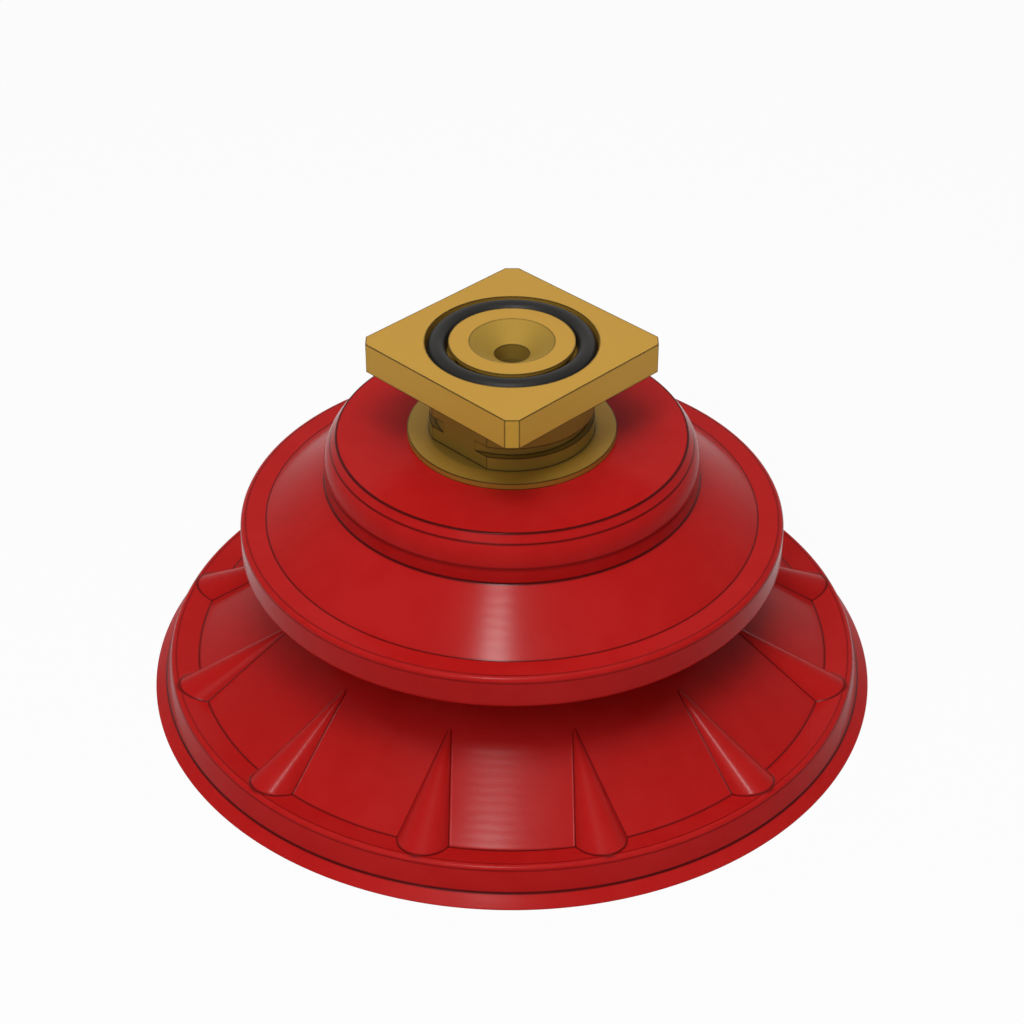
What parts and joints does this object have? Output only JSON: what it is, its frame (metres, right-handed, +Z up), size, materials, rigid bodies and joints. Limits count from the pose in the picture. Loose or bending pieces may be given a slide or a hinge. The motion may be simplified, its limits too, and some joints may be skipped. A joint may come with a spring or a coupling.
{
  "type": "bellows traction vacuum cup",
  "caption": "Round rubber vacuum cup with one and a half bellows folds, a ribbed skirt and a square brass T-slot fitting with a face seal.",
  "frame": {"origin": "centre of the sealing lip's underside", "axes": "+Z up the cup's axis to the fitting's sealing face; X along the fitting's slot flats, Y across them"},
  "size_m": [0.107, 0.107, 0.0564],
  "materials": {
    "red_elastomer": "satin moulded elastomer",
    "black_elastomer": "smooth nitrile",
    "yellow_brass": "machined, bright",
    "zinc_steel": "zinc plated"
  },
  "bodies": {
    "mount": {"slot_fitting": "yellow_brass", "face_seal_ring": "black_elastomer", "clamp_washer": "zinc_steel", "retaining_nut": "zinc_steel", "cup_head": "red_elastomer", "upper_wall": "red_elastomer"},
    "fold": {"fold_rim": "red_elastomer", "lower_wall": "red_elastomer"},
    "neck": {"neck_ring": "red_elastomer"},
    "web": {"skirt_web": "red_elastomer"},
    "lip": {"skirt": "red_elastomer"}
  },
  "joints": [
    {"name": "upper_stroke", "type": "slide", "parent": "mount", "child": "fold", "axis": [0, 0, 1], "range_m": [0, 0.0045], "stiffness_N_per_m": 9000, "deforming": ["upper_wall"]},
    {"name": "lower_stroke", "type": "slide", "parent": "fold", "child": "neck", "axis": [0, 0, 1], "range_m": [0, 0.0038], "stiffness_N_per_m": 9000, "deforming": ["lower_wall"]},
    {"name": "tilt_about_x", "type": "hinge", "parent": "neck", "child": "web", "pos_m": [0, 0, 0.015], "axis": [1, 0, 0], "range_deg": [-4.5, 4.5], "stiffness_Nm_per_rad": 4, "deforming": ["skirt_web"]},
    {"name": "tilt_about_y", "type": "hinge", "parent": "web", "child": "lip", "pos_m": [0, 0, 0.015], "axis": [0, 1, 0], "range_deg": [-4.5, 4.5], "stiffness_Nm_per_rad": 4}
  ],
  "couplings": [
    {"joint": "lower_stroke", "follows": "upper_stroke", "ratio": 0.8444}
  ]
}
